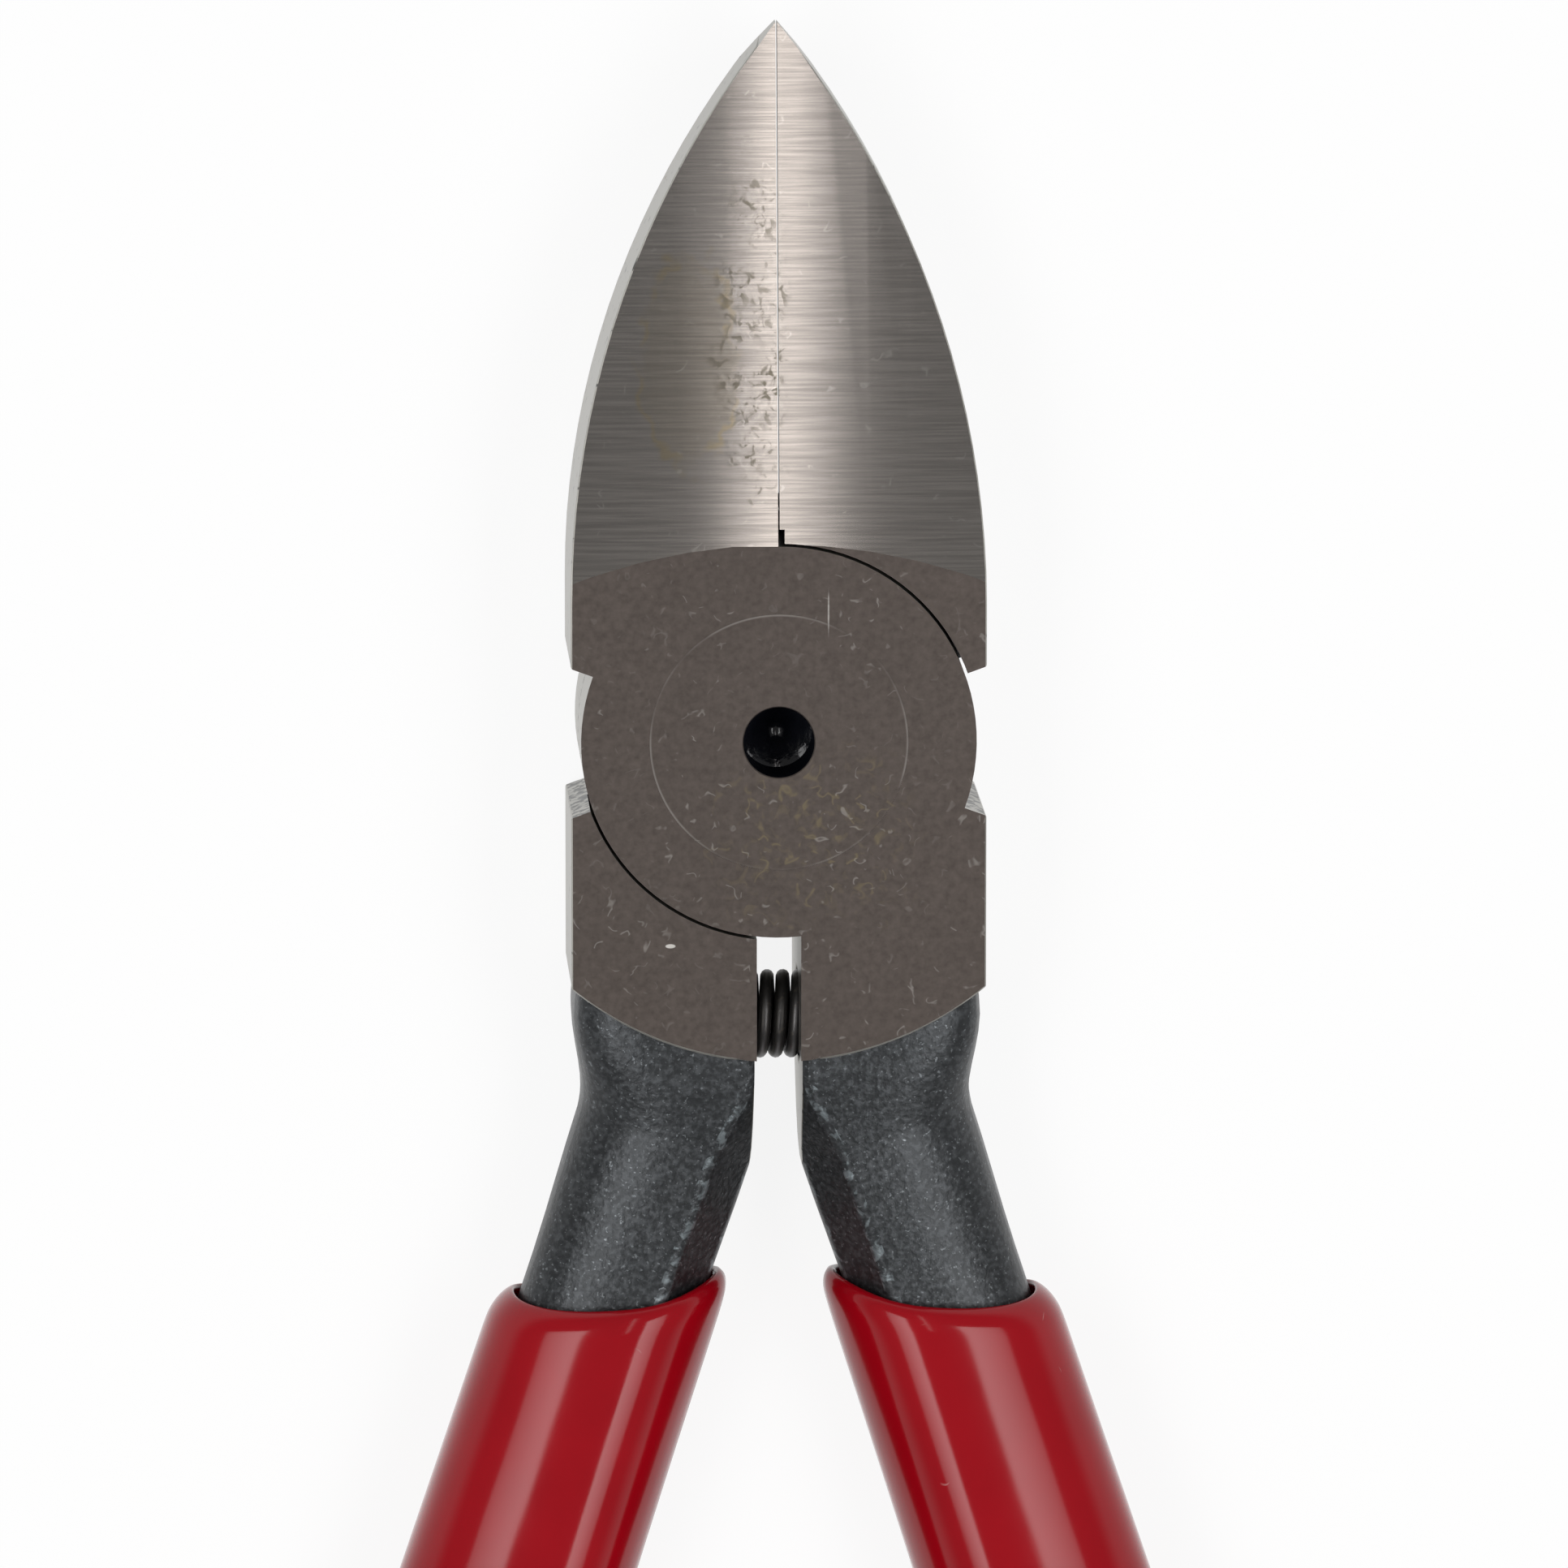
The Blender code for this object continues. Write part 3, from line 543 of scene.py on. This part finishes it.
def finished_spring():
    curve = bpy.data.curves.new("spring_line", "CURVE")
    curve.dimensions = "3D"
    curve.bevel_depth = SPRING_WIRE / 2
    curve.bevel_resolution = WIRE_ROUNDING
    curve.use_fill_caps = True
    points = spring_line()
    wire = curve.splines.new("POLY")
    wire.points.add(len(points) - 1)
    for spot, point in zip(wire.points, points):
        spot.co = (*point, 1.0)
    drawn = bpy.data.objects.new("spring_line", curve)
    bpy.context.scene.collection.objects.link(drawn)
    evaluated = drawn.evaluated_get(bpy.context.evaluated_depsgraph_get())
    mesh = bpy.data.meshes.new_from_object(evaluated)
    bpy.data.objects.remove(drawn)
    mesh.name = "return_spring_finished"
    mesh.shade_smooth()
    mesh.set_sharp_from_angle(angle=WIRE_END_ANGLE)
    mesh.materials.clear()
    mesh.materials.append(black_wire())
    spring = bpy.data.objects.new("return_spring_finished", mesh)
    bpy.context.scene.collection.objects.link(spring)
    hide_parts("return_spring")
    return spring, points


return_spring, wire_points = finished_spring()
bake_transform(return_spring)

# Handle sleeves
# Soft red plastic dipped or pushed on over each tang: a smooth glossy wall that follows the handle's
# bow, with a rolled rim cut on a slant at the mouth and a closed, rounded end.

HEAD_FOOT = 0.0164            # lower edge of the joint face, about the pivot
KNEE_FALL = 0.0060            # the knee lies this far below it
KNEE_GAP = 0.00265            # between the two knees
KNEE_WIDTH = 0.0092
SHANK_WIDTH = 0.0089
RIDGE_WIDTH = 0.00212         # sloping facet along the inner edge of the tang
INNER_LAND = 0.0030           # flat inner face between two facets
TANG_FULLNESS = 2.7           # how square the rounded outer side is: 2 is an ellipse
HANDLE_LEAN = radians(18)     # outwards from the knee
HANDLE_SPREAD = 0.0417        # between the middles of the two handles at their widest
BOW_RADIUS = 0.120
END_LEAN = radians(4)         # back inwards at the end of the handle
TANG_END = 0.005              # the tang stops this far before the end of its sleeve
SLEEVE_ROOM = 0.0001          # round the tang
SLEEVE_WALL = 0.0012
FACE_RELIEF = 0.00005         # the sleeves stand this far inside the planes of the ground faces
MOUTH = 0.0078                # knee to the sleeve's mouth, along the handle
MOUTH_TILT = radians(24)      # the inner side of the mouth stands higher
MOUTH_DIP = 0.0010            # the mouth is cut lower on its front and back
MOUTH_FADE = 0.012            # length over which the mouth's tilt dies out
RIM_LENGTH = 0.0018           # of the rounding at the mouth
RIM_LIP = 0.00025             # thickness of the wall where the rounding starts
PALM = 0.045                  # knee to the widest place
PALM_WIDTH = 0.0122
END_WIDTH = 0.0114
END_ROUND = 0.0045
END_SPARE = 0.00006           # the end stays this far inside the lowest plane of the tool
SIDE_STEPS = 7                # facets on a quarter of a ring
RING_PITCH = 0.005            # between rings along the handle
RIM_STEPS = 4
END_STEPS = 5
SLEEVE_SOFTNESS = 2           # times that every facet is split in four and smoothed
END_HALVINGS = 50             # rounds of halving that find where a sleeve ends

SLEEVE_RED = (0.285, 0.0012, 0.0062)
SLEEVE_DUST = (0.62, 0.42, 0.40)


def eased(value, start, end):
    """Rises smoothly from 0 at start to 1 at end."""
    share = min(1.0, max(0.0, (value - start) / (end - start)))
    return share * share * (3.0 - 2.0 * share)


def handle_frame(distance):
    """Centre and crosswise direction of the right handle, a distance past the knee."""
    cross = Vector((cos(HANDLE_LEAN), sin(HANDLE_LEAN)))
    knee = Vector((KNEE_GAP / 2, -HEAD_FOOT - KNEE_FALL))
    centre = knee + cross * KNEE_WIDTH / 2
    bow_run = BOW_RADIUS * (1.0 - cos(HANDLE_LEAN))
    straight = min(distance, (HANDLE_SPREAD / 2 - centre.x - bow_run) / sin(HANDLE_LEAN))
    centre += Vector((sin(HANDLE_LEAN), -cos(HANDLE_LEAN))) * straight
    turn = min(HANDLE_LEAN + END_LEAN, (distance - straight) / BOW_RADIUS)
    end = HANDLE_LEAN - turn
    centre += BOW_RADIUS * Vector((cos(end) - cos(HANDLE_LEAN), sin(end) - sin(HANDLE_LEAN)))
    rest = distance - straight - turn * BOW_RADIUS
    return centre + Vector((sin(end), -cos(end))) * rest, Vector((cos(end), sin(end)))


def sleeve_end(lowest):
    """Distance past the knee at which the handle reaches the lowest point of its sleeve."""
    short, long = 0.0, -2 * lowest
    for _ in range(END_HALVINGS):
        middle = (short + long) / 2
        centre = handle_frame(middle)[0]
        if centre.y > lowest:
            short = middle
        else:
            long = middle
    return short


def tang_ring(distance, length, thickness):
    """(across, up) points round the tang, from the inner front ridge over the rounded outer side."""
    width = KNEE_WIDTH + (SHANK_WIDTH - KNEE_WIDTH) * eased(distance, 0.0, MOUTH)
    palm_width = PALM_WIDTH - 2 * (SLEEVE_WALL + SLEEVE_ROOM)
    width += (palm_width - SHANK_WIDTH) * eased(distance, MOUTH, PALM)
    width += (END_WIDTH - PALM_WIDTH) * eased(distance, PALM, length)
    upper = []
    for step in range(SIDE_STEPS + 1):
        turn = pi / 2 * step / SIDE_STEPS
        across = RIDGE_WIDTH + (width - RIDGE_WIDTH) * sin(turn) ** (2 / TANG_FULLNESS)
        up = thickness / 2 * abs(cos(turn)) ** (2 / TANG_FULLNESS)
        upper.append((across - width / 2, up))
    lower = [(across, -up) for across, up in reversed(upper[:-1])]
    return upper + lower + [(-width / 2, -INNER_LAND / 2), (-width / 2, INNER_LAND / 2)]


def grown(outline, distance):
    """A clockwise outline with each of its sides moved outwards."""
    points = [Vector(point) for point in outline]
    result = []
    for k, here in enumerate(points):
        first = (here - points[k - 1]).normalized()
        second = (points[(k + 1) % len(points)] - here).normalized()
        out = Vector((-first.y - second.y, first.x + second.x))
        result.append(here + out * distance / (1.0 + first.dot(second)))
    return result


def sleeve_rings(side, node):
    """Rings of a sleeve: up the cavity from its floor, over the rim and down the outside to the end."""
    low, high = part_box(node)
    length = sleeve_end(low.y + END_SPARE)
    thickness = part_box("front_lever")[1].z - 2 * (SLEEVE_WALL + SLEEVE_ROOM + FACE_RELIEF)
    middle = (low.z + high.z) / 2
    rings = []

    def add_ring(distance, growth, shrink=1.0):
        centre, cross = handle_frame(distance)
        along = Vector((cross.y, -cross.x))
        outline = [point * shrink for point in grown(tang_ring(distance, length, thickness), growth)]
        top = max(up for _, up in outline)
        fade = 1.0 - eased(distance, MOUTH, MOUTH + MOUTH_FADE)
        ring = []
        for across, up in outline:
            slide = fade * (across * tan(MOUTH_TILT) + MOUTH_DIP * (up / top) ** 2)
            spot = centre + cross * across + along * slide
            ring.append((side * spot.x, spot.y, middle + up))
        rings.append(ring)

    last = length - TANG_END
    count = round((last - MOUTH) / RING_PITCH)
    stations = [MOUTH + (last - MOUTH) * k / count for k in range(1, count + 1)]
    add_ring(last + SLEEVE_ROOM, SLEEVE_ROOM)
    for distance in reversed(stations[:-1]):
        add_ring(distance, SLEEVE_ROOM)
    add_ring(MOUTH + RIM_LENGTH / 2, SLEEVE_ROOM)
    for step in range(RIM_STEPS + 1):
        turn = pi / 2 * step / RIM_STEPS
        wall = RIM_LIP + (SLEEVE_WALL - RIM_LIP) * sin(turn)
        add_ring(MOUTH + RIM_LENGTH * (1.0 - cos(turn)), SLEEVE_ROOM + wall)
    for distance in stations[:-1]:
        add_ring(distance, SLEEVE_WALL + SLEEVE_ROOM)
    share = 2 * END_ROUND / (high.z - low.z)
    for step in range(END_STEPS + 1):
        turn = pi / 2 * step / END_STEPS
        shrink = 1.0 - share * (1.0 - cos(turn))
        add_ring(length - END_ROUND * (1.0 - sin(turn)), SLEEVE_WALL + SLEEVE_ROOM, shrink)
    return rings


def red_plastic():
    """Glossy red plastic with a faint mottle, a soft waviness from dipping and specks of dust."""
    finish = Finish("red_plastic", Specular_IOR_Level=0.3)
    mottle = finish.grain(240.0, 3.0)
    red = finish.mixed(mottle, scaled(SLEEVE_RED, 0.88), scaled(SLEEVE_RED, 1.10))
    dust = finish.most(finish.dots(420.0, 0.045, 0.14), scratches(finish, 420.0, 0.012, 0.24))
    finish.coloured(finish.mixed(finish.times(dust, 0.5), red, SLEEVE_DUST))
    finish.roughened(finish.plus(finish.between(mottle, 0.09, 0.15), finish.times(dust, 0.3)))
    waves = finish.grain(90.0, 2.0)
    finish.embossed(finish.plus(waves, finish.times(dust, 0.05)), 0.00006)
    return finish.material


SLEEVE_FINISH = red_plastic()


def finished_sleeve(name, node, side):
    bm = bmesh.new()
    rows = [[bm.verts.new(point) for point in ring] for ring in sleeve_rings(side, node)]
    for row, following in zip(rows, rows[1:]):
        for k in range(len(row)):
            bm.faces.new((row[k - 1], row[k], following[k], following[k - 1]))
    bm.faces.new(rows[0])
    bm.faces.new(rows[-1])
    bmesh.ops.recalc_face_normals(bm, faces=bm.faces)
    sleeve = piece_from(bm, name, [SLEEVE_FINISH])
    soft = sleeve.modifiers.new("soft_form", "SUBSURF")
    soft.levels = SLEEVE_SOFTNESS
    soft.render_levels = SLEEVE_SOFTNESS
    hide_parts(node)
    return sleeve


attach(finished_sleeve("right_sleeve", "right_grip", 1), "front_half")
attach(finished_sleeve("left_sleeve", "left_grip", -1), "rear_half")

# Floor and surroundings
# A sheet of white card under the tool and a pale room all round it. Both are white to the camera, and
# the card keeps the tool's soft shadow. In reflections the room is dimmer overhead.

FLOOR_REACH = 4.0
FLOOR_DROP = 0.0002           # under the tool's back face
CARD_WHITE = (0.86, 0.86, 0.86)
CARD_ROUGHNESS = 0.9
CARD_GLOW = 0.88              # share of plain white in what is seen of the card, the rest being lit card
ROOM_LIGHT = 0.28             # that falls on the pieces
ROOM_OVERHEAD = 0.30          # brightness of the room in reflections, overhead
ROOM_AROUND = 1.0             # and level with the floor
ROOM_RISE = (0.05, 0.42)      # upward part of the direction in which it goes from one to the other


def seen(nodes, links):
    """1 for what the camera sees, straight or mirrored in a piece, and 0 for light on the pieces."""
    path = nodes.new("ShaderNodeLightPath")
    total = path.outputs["Is Camera Ray"]
    for name in ("Is Glossy Ray", "Is Transmission Ray"):
        add = nodes.new("ShaderNodeMath")
        add.operation = "MAXIMUM"
        links.new(total, add.inputs[0])
        links.new(path.outputs[name], add.inputs[1])
        total = add.outputs["Value"]
    return total


def white_card():
    material = bpy.data.materials.new("white_card")
    material.use_nodes = True
    nodes = material.node_tree.nodes
    links = material.node_tree.links
    shader = nodes["Principled BSDF"]
    shader.inputs["Base Color"].default_value = (*CARD_WHITE, 1.0)
    shader.inputs["Roughness"].default_value = CARD_ROUGHNESS
    shader.inputs["Specular IOR Level"].default_value = 0.0
    glow = nodes.new("ShaderNodeEmission")
    glow.inputs["Strength"].default_value = 1.0
    share = nodes.new("ShaderNodeMath")
    share.operation = "MULTIPLY"
    links.new(seen(nodes, links), share.inputs[0])
    share.inputs[1].default_value = CARD_GLOW
    both = nodes.new("ShaderNodeMixShader")
    links.new(share.outputs["Value"], both.inputs[0])
    links.new(shader.outputs["BSDF"], both.inputs[1])
    links.new(glow.outputs["Emission"], both.inputs[2])
    links.new(both.outputs["Shader"], nodes["Material Output"].inputs["Surface"])
    return material


def pale_room():
    world = bpy.data.worlds.new("pale_room")
    world.use_nodes = True
    nodes = world.node_tree.nodes
    links = world.node_tree.links
    path = nodes.new("ShaderNodeLightPath")
    way = nodes.new("ShaderNodeTexCoord")
    parts = nodes.new("ShaderNodeSeparateXYZ")
    links.new(way.outputs["Generated"], parts.inputs["Vector"])
    room = nodes.new("ShaderNodeMapRange")
    room.interpolation_type = "SMOOTHSTEP"
    links.new(parts.outputs["Z"], room.inputs["Value"])
    room.inputs["From Min"].default_value = ROOM_RISE[0]
    room.inputs["From Max"].default_value = ROOM_RISE[1]
    room.inputs["To Min"].default_value = ROOM_AROUND
    room.inputs["To Max"].default_value = ROOM_OVERHEAD
    mirrored = nodes.new("ShaderNodeMix")
    links.new(seen(nodes, links), mirrored.inputs[0])
    mirrored.inputs[2].default_value = ROOM_LIGHT
    links.new(room.outputs["Result"], mirrored.inputs[3])
    level = nodes.new("ShaderNodeMix")
    links.new(path.outputs["Is Camera Ray"], level.inputs[0])
    links.new(mirrored.outputs[0], level.inputs[2])
    level.inputs[3].default_value = 1.0
    links.new(level.outputs[0], nodes["Background"].inputs["Strength"])
    nodes["Background"].inputs["Color"].default_value = (1.0, 1.0, 1.0, 1.0)
    return world


sheet = bmesh.new()
bmesh.ops.create_grid(sheet, x_segments=1, y_segments=1, size=FLOOR_REACH,
                      matrix=Matrix.Translation((0.0, 0.0, cad_box[0].z - FLOOR_DROP)))
card = piece_from(sheet, "white_card", [white_card()])
bpy.context.scene.world = pale_room()

# Lamps
# Two long soft boxes, one at each side of the tool, brightest along their inner sides. Overhead on the
# tip's side hang a slim strip lamp and a dimmer, wider box behind it, which together draw the bright
# band along the ground jaws.

SIDE_BOX = (0.26, 0.60)
SIDE_PLACE = Vector((0.31, -0.03, 0.52))
SIDE_POWER = 1.9
SIDE_WHITE = (1.0, 1.0, 1.0)
SIDE_FADE = (1.50, 0.50)      # share of the mean brightness at a box's inner and outer long sides
STRIP_BOX = (0.016, 0.50)
STRIP_PLACE = Vector((0.027, 0.27, 0.60))
STRIP_POWER = 0.072
STRIP_WHITE = (1.0, 0.95, 0.90)
WIDE_BOX = (0.043, 0.50)
WIDE_PLACE = Vector((0.029, 0.27, 0.61))
WIDE_POWER = 0.060
WIDE_WHITE = (1.0, 0.96, 0.98)
HANDLES_AIM = Vector((0.0, -0.02, 0.005))
JAWS_AIM = Vector((0.0, 0.02, 0.01))


def facing(place, back):
    """Stands a lamp or camera at a place, upright along the tool and with its back to a direction."""
    right = Vector((0.0, 1.0, 0.0)).cross(back).normalized()
    axes = Matrix((right, back.cross(right), back)).transposed().to_4x4()
    return Matrix.Translation(place) @ axes


def soft_box(name, size, place, aim, power, white):
    """A rectangular lamp whose long side runs along the tool."""
    light = bpy.data.lights.new(name, "AREA")
    light.shape = "RECTANGLE"
    light.size, light.size_y = size
    light.energy = power
    light.color = white
    lamp = bpy.data.objects.new(name, light)
    lamp.matrix_world = facing(place, (place - aim).normalized())
    bpy.context.scene.collection.objects.link(lamp)
    return light


def faded(light, first, last):
    """Grades a soft box across its width, from first times its brightness to last times."""
    light.use_nodes = True
    nodes = light.node_tree.nodes
    links = light.node_tree.links
    parts = nodes.new("ShaderNodeSeparateXYZ")
    links.new(nodes.new("ShaderNodeNewGeometry").outputs["Parametric"], parts.inputs["Vector"])
    fade = nodes.new("ShaderNodeMapRange")
    links.new(parts.outputs["X"], fade.inputs["Value"])
    fade.inputs["To Min"].default_value = first
    fade.inputs["To Max"].default_value = last
    links.new(fade.outputs["Result"], nodes["Emission"].inputs["Strength"])


LEFT_PLACE = SIDE_PLACE * Vector((-1.0, 1.0, 1.0))
right_box = soft_box("right_box", SIDE_BOX, SIDE_PLACE, HANDLES_AIM, SIDE_POWER, SIDE_WHITE)
faded(right_box, *SIDE_FADE)
left_box = soft_box("left_box", SIDE_BOX, LEFT_PLACE, HANDLES_AIM, SIDE_POWER, SIDE_WHITE)
faded(left_box, *reversed(SIDE_FADE))
soft_box("overhead_strip", STRIP_BOX, STRIP_PLACE, JAWS_AIM, STRIP_POWER, STRIP_WHITE)
soft_box("overhead_box", WIDE_BOX, WIDE_PLACE, JAWS_AIM, WIDE_POWER, WIDE_WHITE)

# Camera
# A long lens straight above the head, leaning a little towards the jaw tip and to the left, with the
# picture's middle just below the rivet and the handles running out of its lower edge.

PICTURE_WIDTH = 0.0792        # of the tool's front face that the picture takes in
CAMERA_DISTANCE = 0.70
SENSOR_WIDTH = 36.0           # in millimetres, as the lens is
PICTURE_MIDDLE = Vector((0.00025, -0.00212, 0.0105))
TO_CAMERA = Vector((-0.044, 0.164, 0.985)).normalized()

lens = bpy.data.cameras.new("camera")
lens.sensor_width = SENSOR_WIDTH
lens.lens = SENSOR_WIDTH * CAMERA_DISTANCE / PICTURE_WIDTH
camera = bpy.data.objects.new("camera", lens)
camera.matrix_world = facing(PICTURE_MIDDLE + TO_CAMERA * CAMERA_DISTANCE, TO_CAMERA)
bpy.context.scene.collection.objects.link(camera)
bpy.context.scene.camera = camera
bpy.context.scene.view_settings.view_transform = "Standard"
